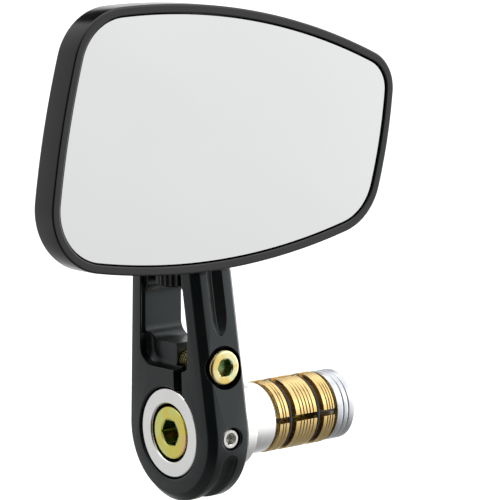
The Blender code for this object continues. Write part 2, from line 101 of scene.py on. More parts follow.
PINCH_Z = 17.35
PINCH_HEAD_R = 4.35
PINCH_HEAD_Y = -15.7
PINCH_HEAD_H = 5.0
PINCH_HEAD_EDGE = 0.75
PINCH_KNURLS = 32
PINCH_FLATS = 4.0
PINCH_THREAD_Y = -6.0
PINCH_TIP_Y = 9.4
PINCH_HOLE_END_Y = 10.6
PINCH_SEAT_R = 5.3
GRUB_Y = -17.0
GRUB_LEAD_Y = -17.25
GRUB_HOLE_END_Y = -8.0
GRUB_FLATS = 2.5
GRUB_SOCKET_DEPTH = 2.2
GRUB_THREAD_END_Y = -12.8
GRUB_POINT = ((-12.7, 2.3), (-12.4, 2.1))   # (y, radius)
M5_R = 2.5
M5_HOLE_R = 2.8
M5_PITCH = 0.8
M6_R = 3.0
M6_PITCH = 1.0
M8_PITCH = 1.25
PIVOT_Y = 1.0
PIVOT_Z = 53.0
PIVOT_BORE_R = 5.0
PLUG_R = 4.7
SIDE_HOLE_R = 5.0
WHEEL_R = 6.2
WHEEL_Z = (36.1, 42.2)
WHEEL_TEETH = 24
WHEEL_TOOTH_DEPTH = 0.45
WHEEL_PLUG_TOP = ((43.9, 4.7), (44.2, 4.4))   # (z, radius)
WHEEL_SLOT_Z = 34.0
CAP_Z = (59.7, 63.0)
LOCK_NUT_Y = (-14.9, -12.5)
LOCK_NUT_FLATS = 10.0
LOCK_NUT_CORNER_R = 5.05
STUD_NECK = ((-1.6, 2.0), (-5.0, 2.0), (-5.3, 2.2), (-10.9, 2.2), (-11.5, 2.9))   # (y, radius)
STUD_THREAD_Y = (-11.6, -17.3)
STUD_POINT = ((-17.5, 2.9), (-18.0, 2.5))   # (y, radius)
PLUG_FLATS = 5.0
PLUG_SOCKET_DEPTH = 1.8
STUD_HOLE_R = 3.3
BUSH_X0 = -19.0
BUSH_R = 11.1
BUSH_EDGE = 0.3
RELIEF_X = (0.9, 1.4)
SPIGOT_R = 8.8
BOLT_R = 4.0
BOLT_HOLE_R = 4.35
BOLT_HEAD_R = 6.5
BOLT_HEAD_H = 8.0
BOLT_HEAD_EDGE = 0.4
BOLT_KNURLS = 40
BOLT_FLATS = 6.0
BOLT_THREAD_X = 20.0
BOLT_TIP_X = 36.5
BOLT_SINK = 0.3
COUNTERBORE_R = 7.25
COUNTERBORE_X = -8.9
CONE_SLOPE = 0.5
CONE_START = 7.6
CONE_LENGTH = 4.4
CONE_R = 7.2
SEGMENT_R = 9.0
SEGMENT_X = (8.5, 26.5)
SEGMENT_BORE_R = 5.0
SEGMENT_ANGLE = 80.0
GRIP_X = (9.6, 10.4, 15.2, 16.2, 17.2, 18.2, 19.2, 23.8, 24.6, 25.4)
NUT_X = (23.0, 33.4)
NUT_GROOVE_X = (29.2, 30.8)
GROOVE_DEPTH = 0.25
RING_X = (12.5, 21.4)
RING_SEAT_X = (0.85, 1.45)   # before and after the middle of the ring
RING_SEAT_R = 7.3
RING_R = 8.2
RING_WIRE_R = 0.55
SIDE_ARCS = (
    (-43.3, -55.9, 163.7),
    (-89.7, 97.3, 125.15),
    (-22.4, 218.3, 175.0),
    (161.2, 27.4, 232.7),
)
CORNER_R = (14.8, 9.8, 14.9, 15.2)
RIM_Y = -25.0
RIM_WIDTH = 2.1
WALL_END_Y = -18.15
BACK_Y = -17.15
CROWN_Y = -16.35
BOSS_Y = -15.2
FLOOR_Y = -20.4
GLASS_Y = (-24.5, -22.5)
GLASS_CROWN = 0.5
RIM_ROUND = 0.5
BACK_ROUND = 1.0
CROWN_RISE = 8.0
BOSS_R = 7.5
BOSS_START_Y = -18.0
OUTSIDE_Y = -20.0
GAP = 0.3


# ---------------------------------------------------------------- node helpers
class Graph:
    """Small helper round one material's node tree."""

    def __init__(self, name, colour, roughness, metallic=0.0):
        self.mat = bpy.data.materials.new(name)
        self.mat.use_nodes = True
        self.tree = self.mat.node_tree
        self.shader = self.tree.nodes["Principled BSDF"]
        self.set("Base Color", (*colour, 1.0))
        self.set("Roughness", roughness)
        self.set("Metallic", metallic)
        self.mat.diffuse_color = (*colour, 1.0)
        self.height = None

    def set(self, socket, value):
        self.shader.inputs[socket].default_value = value

    def node(self, kind, **values):
        made = self.tree.nodes.new(kind)
        for key, value in values.items():
            if key in made.inputs:
                made.inputs[key].default_value = value
            else:
                setattr(made, key, value)
        return made

    def link(self, out, into):
        self.tree.links.new(out, into)

    def place(self, shift=(0, 0, 0), stretch=(1, 1, 1)):
        """Object coordinates moved and stretched."""
        coords = self.node("ShaderNodeTexCoord")
        mapping = self.node("ShaderNodeMapping")
        mapping.inputs["Location"].default_value = [s * MM for s in shift]
        mapping.inputs["Scale"].default_value = stretch
        self.link(coords.outputs["Object"], mapping.inputs["Vector"])
        return mapping.outputs["Vector"]

    def noise(self, scale, detail=2.0, rough=0.5, vector=None, distortion=0.0):
        made = self.node("ShaderNodeTexNoise")
        made.inputs["Scale"].default_value = scale
        made.inputs["Detail"].default_value = detail
        made.inputs["Roughness"].default_value = rough
        made.inputs["Distortion"].default_value = distortion
        self.link(vector if vector is not None else self.place(), made.inputs["Vector"])
        return made.outputs["Fac"]

    def ramp(self, value, stops, mode="LINEAR"):
        made = self.node("ShaderNodeValToRGB")
        made.color_ramp.interpolation = mode
        elements = made.color_ramp.elements
        while len(elements) < len(stops):
            elements.new(0.5)
        for element, (at, colour) in zip(elements, stops):
            element.position = at
            element.color = (*colour, 1.0)
        self.link(value, made.inputs["Fac"])
        return made.outputs["Color"]

    def span(self, value, low, high, start=0.3, stop=0.7):
        made = self.node("ShaderNodeMapRange")
        made.inputs["From Min"].default_value = start
        made.inputs["From Max"].default_value = stop
        made.inputs["To Min"].default_value = low
        made.inputs["To Max"].default_value = high
        self.link(value, made.inputs["Value"])
        return made.outputs["Result"]

    def roughness(self, value, low, high, start=0.3, stop=0.7):
        self.link(self.span(value, low, high, start, stop), self.shader.inputs["Roughness"])

    def colour(self, out):
        self.link(out, self.shader.inputs["Base Color"])

    def soft_edges(self, radius_mm):
        """Edges shade as if broken by a file."""
        made = self.node("ShaderNodeBevel", samples=6)
        made.inputs["Radius"].default_value = radius_mm * MM
        self.height = made.outputs["Normal"]
        self.link(self.height, self.shader.inputs["Normal"])

    def bump(self, value, strength, distance):
        made = self.node("ShaderNodeBump")
        made.inputs["Strength"].default_value = strength
        made.inputs["Distance"].default_value = distance
        self.link(value, made.inputs["Height"])
        if self.height is not None:
            self.link(self.height, made.inputs["Normal"])
        self.height = made.outputs["Normal"]
        self.link(self.height, self.shader.inputs["Normal"])

    def reach(self, axis, centre):
        """Distance from an axis."""
        shift = {
            "X": (0.0, -centre[0], -centre[1]),
            "Y": (-centre[0], 0.0, -centre[1]),
        }[axis]
        flat = {"X": (0, 1, 1), "Y": (1, 0, 1)}[axis]
        length = self.node("ShaderNodeVectorMath")
        length.operation = "LENGTH"
        self.link(self.place(shift, flat), length.inputs[0])
        return length.outputs["Value"]

    def along(self, direction, shift):
        """Distance along a direction from a shifted origin."""
        made = self.node("ShaderNodeVectorMath")
        made.operation = "DOT_PRODUCT"
        self.link(self.place(shift), made.inputs[0])
        made.inputs[1].default_value = direction
        return made.outputs["Value"]

    def total(self, first, second):
        made = self.node("ShaderNodeMath")
        made.operation = "ADD"
        self.link(first, made.inputs[0])
        self.link(second, made.inputs[1])
        return made.outputs[0]

    def mixed(self, factor, first, second):
        """First colour where the factor is 0, second where it is 1."""
        made = self.node("ShaderNodeMix")
        made.data_type = "RGBA"
        self.link(factor, made.inputs["Factor"])
        self.link(first, made.inputs[6])
        self.link(second, made.inputs[7])
        return made.outputs[2]

    def rings(self, axis, centre, pitch):
        """Concentric turning marks round an axis, with a slight waver."""
        shift = {
            "X": (0.0, -centre[0], -centre[1]),
            "Y": (-centre[0], 0.0, -centre[1]),
            "Z": (-centre[0], -centre[1], 0.0),
        }[axis]
        made = self.node("ShaderNodeTexWave", wave_type="RINGS", rings_direction=axis)
        made.inputs["Scale"].default_value = 0.314 / (pitch * MM)
        made.inputs["Distortion"].default_value = 0.6
        made.inputs["Detail"].default_value = 2.0
        made.inputs["Detail Scale"].default_value = 1.5
        self.link(self.place(shift), made.inputs["Vector"])
        return made.outputs["Fac"]


def anodised(name, dark, light, rough=(0.20, 0.28), marks=None, sheen=(1.0, 1.0, 1.0)):
    """Satin black anodising: fine grain, faint dye variation, faint tool marks."""
    g = Graph(name, dark, 0.24)
    g.set("IOR", 1.48)
    g.set("Specular Tint", (*sheen, 1.0))
    g.soft_edges(0.18)
    g.colour(g.ramp(g.noise(60.0, 3.0), ((0.3, dark), (0.75, light))))
    g.roughness(g.noise(420.0, 3.0), rough[0], rough[1])
    g.bump(g.noise(5200.0, 2.0, 0.6), 0.16, 0.00003)
    if marks:
        g.bump(g.noise(1500.0, 2.0, 0.5, g.place(stretch=marks)), 0.10, 0.00004)
    return g.mat


def metal(name, colours, rough, axis=None, centre=(0, 0), pitch=0.2, marks=0.10):
    """Bare or plated metal, with turning marks round its own axis."""
    g = Graph(name, colours[0], rough[0], 1.0)
    g.soft_edges(0.15)
    count = len(colours)
    stops = [(0.25 + 0.5 * i / max(count - 1, 1), c) for i, c in enumerate(colours)]
    g.colour(g.ramp(g.noise(240.0, 3.0, 0.55, distortion=0.6), stops))
    g.roughness(g.noise(700.0, 4.0), rough[0], rough[1])
    if axis:
        g.bump(g.rings(axis, centre, pitch), marks, 0.00003)
    g.bump(g.noise(2600.0, 2.0), 0.05, 0.00004)
    return g.mat


def turned_face(mat, strength):
    """Brushes a turned metal's reflections round the X axis."""
    tree = mat.node_tree
    tangent = tree.nodes.new("ShaderNodeTangent")
    tangent.direction_type = "RADIAL"
    tangent.axis = "X"
    shader = tree.nodes["Principled BSDF"]
    shader.inputs["Anisotropic"].default_value = strength
    tree.links.new(tangent.outputs["Tangent"], shader.inputs["Tangent"])


def zinc_yellow(name, axis, centre, gold, pale, green, pink, socket_r):
    """Yellow passivated zinc: gold that drifts to green and pink, with painted shade in its socket: dark
    colour inside the socket radius.
    """
    g = Graph(name, gold, 0.22, 1.0)
    g.soft_edges(0.10)
    stops = ((0.30, green), (0.44, pale), (0.56, gold), (0.68, gold), (0.80, pink))
    lean, shift = {
        "X": ((0.0, -1.0, -0.3), (0.0, -centre[0], -centre[1])),
        "Y": ((-1.0, 0.0, -0.2), (-centre[0], 0.0, -centre[1])),
    }[axis]
    drift = g.span(g.along(lean, shift), -0.13, 0.17, -6.5 * MM, 6.5 * MM)
    mottle = g.noise(190.0, 2.0, 0.45, distortion=0.5)
    plated = g.ramp(g.total(mottle, drift), stops)
    # Painted shade: a dark green-to-pink colour fills the hex socket, within socket_r of the axis, where
    # the recess is in shade.
    painted_socket_shade = g.ramp(g.noise(520.0, 2.0), ((0.35, (0.14, 0.26, 0.09)), (0.52, (0.20, 0.30, 0.12)),
                                        (0.68, (0.42, 0.20, 0.14))))
    socket_shade_mask = g.span(g.reach(axis, centre), 1.0, 0.0, socket_r * MM, (socket_r + 0.12) * MM)
    g.colour(g.mixed(socket_shade_mask, plated, painted_socket_shade))
    g.roughness(g.noise(900.0, 3.0), 0.16, 0.30)
    g.bump(g.rings(axis, centre, 0.14), 0.08, 0.00003)
    g.bump(g.noise(2400.0, 2.0), 0.05, 0.00004)
    return g.mat


def plastic(name, dark, light, rough, grain=2500.0, depth=0.00004):
    """Moulded or machined plastic with a fine grain."""
    g = Graph(name, light, rough)
    g.soft_edges(0.12)
    g.colour(g.ramp(g.noise(90.0, 3.0), ((0.3, dark), (0.7, light))))
    g.roughness(g.noise(500.0, 2.0), rough - 0.06, rough + 0.06)
    g.bump(g.noise(grain, 3.0), 0.25, depth)
    return g.mat


def foam(name):
    """Closed-cell adhesive foam."""
    g = Graph(name, (0.09, 0.09, 0.10), 0.95)
    cells = g.node("ShaderNodeTexVoronoi")
    cells.inputs["Scale"].default_value = 2400.0
    g.link(g.place(), cells.inputs["Vector"])
    stops = ((0.1, (0.05, 0.05, 0.06)), (0.6, (0.13, 0.13, 0.14)))
    g.colour(g.ramp(cells.outputs["Distance"], stops))
    g.bump(cells.outputs["Distance"], 0.5, 0.0001)
    return g.mat


def mirror(name):
    """Silvered glass with a trace of haze."""
    g = Graph(name, (0.61, 0.615, 0.615), 0.015, 1.0)
    stops = ((0.3, (0.60, 0.605, 0.605)), (0.7, (0.62, 0.625, 0.625)))
    g.colour(g.ramp(g.noise(14.0, 2.0), stops))
    g.roughness(g.noise(60.0, 4.0), 0.008, 0.03)
    return g.mat


# ---------------------------------------------------------------- finishes
BLACK = anodised("arm_black_anodised", (0.0016, 0.0018, 0.0020), (0.0030, 0.0032, 0.0034),
                 (0.27, 0.35), marks=(0.12, 1.0, 0.12), sheen=(0.88, 0.98, 1.0))
HEAD = anodised("head_black_anodised", (0.0016, 0.0017, 0.0018), (0.0030, 0.0031, 0.0032),
                (0.13, 0.19))
WHEEL = anodised("wheel_black_anodised", (0.004, 0.004, 0.0045), (0.008, 0.008, 0.009))
CAP = anodised("cap_black_anodised", (0.003, 0.003, 0.0035), (0.006, 0.006, 0.0065))
ALU = metal("polished_bushing", ((0.91, 0.91, 0.90), (0.95, 0.95, 0.94)), (0.20, 0.28),
            "X", (0, 0), 0.22, 0.06)
turned_face(ALU, 0.7)
GOLD_X = zinc_yellow("centre_bolt_zinc", "X", (0, 0), (0.80, 0.70, 0.15), (0.76, 0.77, 0.25),
                     (0.66, 0.80, 0.22), (0.86, 0.58, 0.30), 3.25)
GOLD_Y = zinc_yellow("pinch_screw_zinc", "Y", (ARM_MID, PINCH_Z), (0.68, 0.53, 0.18),
                     (0.73, 0.70, 0.42), (0.60, 0.66, 0.36), (0.70, 0.44, 0.24), 2.2)
GRUB = metal("grub_stainless", ((0.50, 0.49, 0.46), (0.66, 0.65, 0.62)), (0.2, 0.32),
             "Y", (ARM_MID, 0.0))
BALL = metal("ball_stainless", ((0.62, 0.61, 0.59), (0.72, 0.71, 0.69)), (0.08, 0.16),
             "Y", (ARM_MID, PIVOT_Z))
STUD = metal("stud_zinc", ((0.52, 0.54, 0.57), (0.66, 0.67, 0.69)), (0.26, 0.4),
             "Y", (ARM_MID, PIVOT_Z))
NUT = metal("nut_zinc", ((0.52, 0.54, 0.57), (0.66, 0.67, 0.69)), (0.26, 0.4), "X", (0, 0))
SPRING = metal("disc_spring_steel", ((0.24, 0.24, 0.27), (0.36, 0.35, 0.36)), (0.3, 0.45),
               "Z", (ARM_MID, PIVOT_Y))
BRASS = metal("turned_brass", ((0.66, 0.46, 0.17), (0.80, 0.60, 0.28)), (0.22, 0.38),
              "X", (0, 0), 0.3, 0.2)
ACETAL = plastic("acetal_seat", (0.66, 0.65, 0.61), (0.80, 0.79, 0.76), 0.42)
NYLON = plastic("nylon_tip_plastic", (0.58, 0.56, 0.48), (0.72, 0.70, 0.62), 0.48)
RUBBER = plastic("elastic_ring", (0.012, 0.012, 0.013), (0.026, 0.026, 0.028), 0.62, 1800.0,
                 0.00008)
FOAM = foam("pad_foam")
GLASS = mirror("silvered_glass")

SLOT_FINISH = {
    "black_anodised": BLACK,
    "head_anodised": HEAD,
    "wheel_anodised": WHEEL,
    "cap_anodised": CAP,
    "polished_aluminium": ALU,
    "zinc_steel": NUT,
    "spring_steel": SPRING,
    "white_acetal": ACETAL,
    "nylon_tip": NYLON,
    "jaw_brass": BRASS,
    "black_rubber": RUBBER,
    "grey_foam": FOAM,
    "mirror_silver": GLASS,
}
NODE_FINISH = {
    "pinch_screw": GOLD_Y,
    "centre_bolt": GOLD_X,
    "set_screw": GRUB,
    "pivot_ball": BALL,
    "pivot_stud": STUD,
    "stud_lock_nut": STUD,
}


def finish_of(node):
    """Material of a node: its own, or the one of its slot."""
    return NODE_FINISH.get(node) or SLOT_FINISH[SLOTS[node]]


for node, obj in frame["nodes"].items():
    obj.data.materials.clear()
    obj.data.materials.append(finish_of(node))


# ---------------------------------------------------------------- geometry helpers (mm)
def make_object(name, bm):
    """Turn a bmesh written in millimetres into an object in metres."""
    bmesh.ops.scale(bm, vec=(MM, MM, MM), verts=bm.verts)
    bmesh.ops.recalc_face_normals(bm, faces=bm.faces)
    mesh = bpy.data.meshes.new(name)
    bm.to_mesh(mesh)
    bm.free()
    obj = bpy.data.objects.new(name, mesh)
    bpy.context.scene.collection.objects.link(obj)
    return obj


def stands_for(obj, node, angle=32.0):
    """Finish a detailed piece and let it stand for its CAD node."""
    mesh = obj.data
    mesh.polygons.foreach_set("use_smooth", [True] * len(mesh.polygons))
    mesh.set_sharp_from_angle(angle=radians(angle))
    mesh.materials.clear()
    mesh.materials.append(finish_of(node))
    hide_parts(node)
    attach(obj, BODIES[node])
    return obj


def loft(rings, closed=False):
    """Join rings of equal length; the end rings are capped unless the loft closes on itself."""
    bm = bmesh.new()
    loops = [[bm.verts.new(p) for p in ring] for ring in rings]
    count = len(rings[0])
    pairs = list(zip(loops, loops[1:]))
    if closed:
        pairs.append((loops[-1], loops[0]))
    for low, high in pairs:
        for i in range(count):
            j = (i + 1) % count
            bm.faces.new((low[i], low[j], high[j], high[i]))
    if not closed:
        bm.faces.new(loops[0])
        bm.faces.new(list(reversed(loops[-1])))
    return bm


def around(axis, centre, along, radius, angle):
    """Point at a radius and angle round an axis."""
    a = radius * cos(angle)
    b = radius * sin(angle)
    if axis == "X":
        return Vector((along, centre[0] + a, centre[1] + b))
    if axis == "Y":
        return Vector((centre[0] + a, along, centre[1] + b))
    return Vector((centre[0] + a, centre[1] + b, along))


def spin(axis, centre, profile, segments=96, closed=False):
    """Solid round an axis from (position, radius) pairs; a radius may be a function of the angle."""
    angles = [2 * pi * i / segments for i in range(segments)]
    rings = []
    for along, radius in profile:
        radii = [radius(a) if callable(radius) else radius for a in angles]
        rings.append([around(axis, centre, along, r, a) for r, a in zip(radii, angles)])
    return loft(rings, closed)


def eased(profile, radius, steps=4):
    """Profile with every inner corner rounded by up to the radius."""
    points = [profile[0]]
    for before, here, after in zip(profile, profile[1:], profile[2:]):
        p, q, r = Vector(before), Vector(here), Vector(after)
        reach = min(radius, (p - q).length * 0.45, (r - q).length * 0.45)
        start = q + (p - q).normalized() * reach
        stop = q + (r - q).normalized() * reach
        for k in range(steps + 1):
            t = k / steps
            spot = start * (1 - t) ** 2 + q * (2 * t * (1 - t)) + stop * t * t
            points.append((spot.x, spot.y))
    points.append(profile[-1])
    return points


def hexed(flats, round_off=0.98):
    """Radius of a hexagon across flats at an angle, with its corners just broken."""
    def radius(angle):
        return min(flats / 2 / cos(angle % (pi / 3) - pi / 6), flats / sqrt(3) * round_off)
    return radius


def ridged(radius, depth, count):
    """Radius with evenly spaced straight ridges."""
    return lambda angle: radius - depth * (0.5 - 0.5 * cos(count * angle))


def threaded(along, pitch, major, depth):
    """Radius of a screw thread at a position on its axis."""
    def radius(angle):
        phase = (along / pitch - angle / (2 * pi)) % 1.0
        return major - depth * (1 - abs(2 * phase - 1))
    return radius


def thread(start, stop, pitch, major, depth):
    """Profile stations of a thread that runs out at both ends."""
    count = int(abs(stop - start) / pitch * 8)
    stations = []
    for i in range(count + 1):
        x = start + (stop - start) * i / count
        fade = min(1.0, i / 8, (count - i) / 8)
        stations.append((x, threaded(x, pitch, major, depth * fade)))
    return stations


def rounded_polygon(corners, steps=14):
    """Outline in (y, z) from (y, z, radius) corners in order round the shape."""
    points = []
    count = len(corners)
    for i, (y, z, r) in enumerate(corners):
        here = Vector((y, z))
        before = (Vector(corners[i - 1][:2]) - here).normalized()
        after = (Vector(corners[(i + 1) % count][:2]) - here).normalized()
        half = before.angle(after) / 2
        middle = here + (before + after).normalized() * (r / sin(half))
        start = here + before * (r / tan(half)) - middle
        stop = here + after * (r / tan(half)) - middle
        first = atan2(start.y, start.x)
        turn = (atan2(stop.y, stop.x) - first + pi) % (2 * pi) - pi
        for k in range(steps + 1):
            a = first + turn * k / steps
            points.append((middle.x + r * cos(a), middle.y + r * sin(a)))
    return points


def spread(outline, distance):
    """Outline pushed outwards along its own normals."""
    count = len(outline)
    points = []
    for i in range(count):
        way = Vector(outline[(i + 1) % count]) - Vector(outline[i - 1])
        out = Vector((way.y, -way.x)).normalized()
        points.append((outline[i][0] + out.x * distance, outline[i][1] + out.y * distance))
    return points


def prism_x(outline, x0, x1, flare=None):
    """Prism along X; a flare opens it by 45 degrees towards x0 from the plane `flare`."""
    stations = [(x0, 0.0), (x1, 0.0)]
    if flare is not None:
        stations = [(x0, flare - x0), (flare, 0.0), (x1, 0.0)]
    return loft([[Vector((x, y, z)) for y, z in spread(outline, d)] for x, d in stations])


def box(x, y, z):
    """Box from three (low, high) pairs."""
    return prism_x([(y[0], z[0]), (y[1], z[0]), (y[1], z[1]), (y[0], z[1])], x[0], x[1])


def cut(obj, bm, operation="DIFFERENCE"):
    """Subtract (or add) a shape."""
    tool = make_object("cutter", bm)
    modifier = obj.modifiers.new("cut", "BOOLEAN")
    modifier.operation = operation
    modifier.solver = "EXACT"
    modifier.object = tool
    bpy.context.view_layer.update()
    graph = bpy.context.evaluated_depsgraph_get()
    mesh = bpy.data.meshes.new_from_object(obj.evaluated_get(graph))
    obj.modifiers.clear()
    old = obj.data
    obj.data = mesh
    bpy.data.meshes.remove(old)
    tool_mesh = tool.data
    bpy.data.objects.remove(tool, do_unlink=True)
    bpy.data.meshes.remove(tool_mesh)


# ---------------------------------------------------------------- clamp arm
def arm_outline(inset, count=360):
    """Hull of the eye, two shoulders and the round top, pulled in by the inset."""
    circles = (
        (EYE_Y, EYE_Z, EYE_R),
        (SHOULDER_Y[0], SHOULDER_Z, SHOULDER_R),
        (SHOULDER_Y[1], SHOULDER_Z, SHOULDER_R),
        (PIVOT_Y, ARM_TOP_Z, ARM_TOP_R),
    )
    points = []
    for i in range(count):
        a = 2 * pi * (i + 0.5) / count
        y, z, r = max(circles, key=lambda c: c[0] * cos(a) + c[1] * sin(a) + c[2])
        points.append((y + (r - inset) * cos(a), z + (r - inset) * sin(a)))
    return points


def lower_pocket(rows=12):
    """Deeper pocket under the window, with a cove between its walls and its floor."""
    bottom = ARM_X0 + LOWER_DEPTH
    stations = [(ARM_X0 - 2, 0.0)]
    for i in range(rows + 1):
        t = 0.5 * pi * i / rows
        stations.append((bottom - LOWER_COVE * (1 - sin(t)), LOWER_COVE * (1 - cos(t))))
    rings = []
    for x, inset in stations:
        low_y, high_y = LOWER_Y[0] + inset, LOWER_Y[1] - inset
        low_z, high_z = LOWER_Z[0] + inset, LOWER_Z[1] - inset
        corners = (
            (low_y, low_z, 2.4 - inset),
            (high_y, low_z, 4.2 - inset),
            (high_y, high_z, 0.5),
            (low_y, high_z, 0.5),
        )
        rings.append([Vector((x, y, z)) for y, z in rounded_polygon(corners)])
    return loft(rings)


def flute(start, end, side, rows=18):
    """Bar with a V-shaped underside between two (y, z) points; it rises out of the face at the start."""
    a = Vector((ARM_MID, *start))
    b = Vector((ARM_MID, *end))
    way = (b - a).normalized()
    across = Vector((1.0, 0.0, 0.0))
    out = Vector((0.0, side, 0.0))
    spans = []
    for i in range(1, rows + 1):
        t = 0.5 * pi * i / rows
        spans.append((a - way * FLUTE_RUNOUT * cos(t), sin(t)))
    for i in range(rows):
        t = 0.5 * pi * i / rows
        spans.append((b + way * FLUTE_HALF * sin(t), cos(t)))
    rings = []
    for c, size in spans:
        corners = []
        for wide, deep in FLUTE_SECTION:
            corners.append(c + (across * wide * FLUTE_HALF - out * deep * FLUTE_DEPTH) * size)
        rings.append(corners)
    return loft(rings)


def curved_groove(radius, start, stop, steps=80, segments=40):
    """Round bar bent about the eye's axis, with ball ends."""
    stations = []
    tip = EYE_GROOVE_R / radius
    for i in range(8):
        t = 0.5 * pi * (i + 1) / 8
        stations.append((start - tip * cos(t), EYE_GROOVE_R * sin(t)))
    for i in range(1, steps):
        stations.append((start + (stop - start) * i / steps, EYE_GROOVE_R))
    for i in range(8):
        t = 0.5 * pi * i / 8
        stations.append((stop + tip * sin(t), EYE_GROOVE_R * cos(t)))
    rings = []
    for angle, r in stations:
        out = Vector((0.0, cos(angle), sin(angle)))
        centre = Vector((ARM_MID, EYE_Y, EYE_Z)) + out * radius
        side = Vector((1.0, 0.0, 0.0))
        turns = [2 * pi * i / segments for i in range(segments)]
        rings.append([centre + (side * cos(t) + out * sin(t)) * r for t in turns])
    return loft(rings)


def build_arm():
    """Clamp arm with its window, pockets, slit, grooves, screw seats and pivot bore."""
    c = ARM_CHAMFER
    back = INNER_CHAMFER
    soft = 0.22
    stations = (
        (ARM_X0, c + soft),
        (ARM_X0 + 0.08, c - 0.02),
        (ARM_X0 + soft, c - soft),
        (ARM_X0 + c - soft, soft),
        (ARM_X0 + c, 0.06),
        (ARM_X0 + c + soft, 0.0),
        (ARM_X1 - back - soft, 0.0),
        (ARM_X1 - back, 0.06),
        (ARM_X1 - back + soft, soft),
        (ARM_X1 - soft, back - soft),
        (ARM_X1 - 0.08, back - 0.02),
        (ARM_X1, back + soft),
    )
    rings = [[Vector((x, y, z)) for y, z in arm_outline(inset)] for x, inset in stations]
    arm = make_object("clamp_arm_detail", loft(rings))
    low, high = ARM_X0 - 2, ARM_X1 + 2
    edge = 0.3
    bore = [
        (low, EYE_BORE_R + 2 + edge),
        (ARM_X0 + edge, EYE_BORE_R),
        (ARM_X1 - edge, EYE_BORE_R),
        (high, EYE_BORE_R + 2 + edge),
    ]
    cut(arm, spin("X", (0, 0), bore, 192))
    floor = ARM_X0 + POCKET_DEPTH
    cut(arm, prism_x(rounded_polygon(POCKET), ARM_X0 - 1, floor, ARM_X0 + 0.2))
    cut(arm, lower_pocket())
    cut(arm, prism_x(rounded_polygon(WINDOW), ARM_X0 + 0.4, high, floor + 0.2))
    cut(arm, box((low, high), NOTCH_Y, NOTCH_Z))
    cut(arm, box((low, high), SLIT_Y, SLIT_Z))
    half = WHEEL_R + 0.5
    cut(arm, box((low, high), (PIVOT_Y - half, PIVOT_Y + half), (WHEEL_SLOT_Z, WHEEL_Z[1] + 0.4)))
    cut(arm, spin("Z", (ARM_MID, PIVOT_Y), [(40.0, PIVOT_BORE_R), (70.0, PIVOT_BORE_R)], 128))
    side_hole = [(OUTSIDE_Y, SIDE_HOLE_R), (0.0, SIDE_HOLE_R)]
    cut(arm, spin("Y", (ARM_MID, PIVOT_Z), side_hole, 128))
    for ends, side in ((REAR_FLUTE, -1.0), (FRONT_FLUTE, 1.0)):
        cut(arm, flute(*ends, side))
    start, stop = EYE_GROOVE_ARC
    cut(arm, curved_groove(EYE_R + EYE_GROOVE_R - EYE_GROOVE_DEPTH, radians(start), radians(stop)))
    pinch = (ARM_MID, PINCH_Z)
    under_head = PINCH_HEAD_Y + PINCH_HEAD_H + GAP
    cut(arm, spin("Y", pinch, [(OUTSIDE_Y, M5_HOLE_R), (PINCH_HOLE_END_Y, M5_HOLE_R)], 64))
    cut(arm, spin("Y", pinch, [(OUTSIDE_Y, PINCH_SEAT_R), (under_head, PINCH_SEAT_R)], 128))
    lead_in = M5_HOLE_R + GRUB_LEAD_Y - OUTSIDE_Y
    grub = [(OUTSIDE_Y, lead_in), (GRUB_LEAD_Y, M5_HOLE_R), (GRUB_HOLE_END_Y, M5_HOLE_R)]
    cut(arm, spin("Y", (ARM_MID, 0.0), grub, 96))
    stands_for(arm, "clamp_arm", 22.0)


# ---------------------------------------------------------------- fasteners and turned parts
def socket(face, way, flats, depth):
    """Stations of a hexagon socket, from its lead-in down to a drilled cone."""
    wide = flats / sqrt(3)
    floor = face + way * depth
    return [
        (face, wide + 0.10),
        (face + way * 0.10, wide),
        (face + way * 0.16, hexed(flats)),
        (floor, hexed(flats)),
        (floor + way * 0.02, flats * 0.46),
        (floor + way * 0.8, 0.15),
    ]


def cap_screw(node, axis, centre, face, head, shank, tip, flats, thread_from, pitch):
    """Socket-head screw with a knurled head, a hexagon socket and a thread."""
    head_r, head_h, knurls, edge = head
    way = 1.0 if tip > face else -1.0
    under = face + way * head_h
    profile = list(reversed(socket(face, way, flats, head_h * 0.55)))
    profile += [(face, flats / sqrt(3) + 0.3), (face, head_r - edge)]
    for k in range(1, 9):
        t = 0.5 * pi * k / 8
        profile.append((face + way * edge * (1 - cos(t)), head_r - edge + edge * sin(t)))
    grip = ridged(head_r, 0.16, knurls)
    profile += [(face + way * (edge + 0.3), grip), (under - way * 0.5, grip)]
    profile += [(under - way * 0.2, head_r - 0.1), (under, head_r - 0.3)]
    profile += [(under, shank + 0.35), (under + way * 0.35, shank)]
    profile += thread(thread_from, tip - way * 0.7, pitch, shank, 0.6 * pitch)
    profile += [(tip - way * 0.6, shank - 0.25), (tip, shank - 0.8)]
    stands_for(make_object(node + "_detail", spin(axis, centre, profile, knurls * 6)), node)


def build_set_screw():
    """Grub screw with its socket and thread."""
    profile = list(reversed(socket(GRUB_Y, 1.0, GRUB_FLATS, GRUB_SOCKET_DEPTH)))
    profile += [(GRUB_Y, M5_R - 0.35), (GRUB_Y + 0.25, M5_R - 0.1)]
    profile += thread(GRUB_Y + 0.3, GRUB_THREAD_END_Y, M5_PITCH, M5_R, 0.42)
    profile += GRUB_POINT
    screw = make_object("set_screw_detail", spin("Y", (ARM_MID, 0.0), profile, 96))
    stands_for(screw, "set_screw")


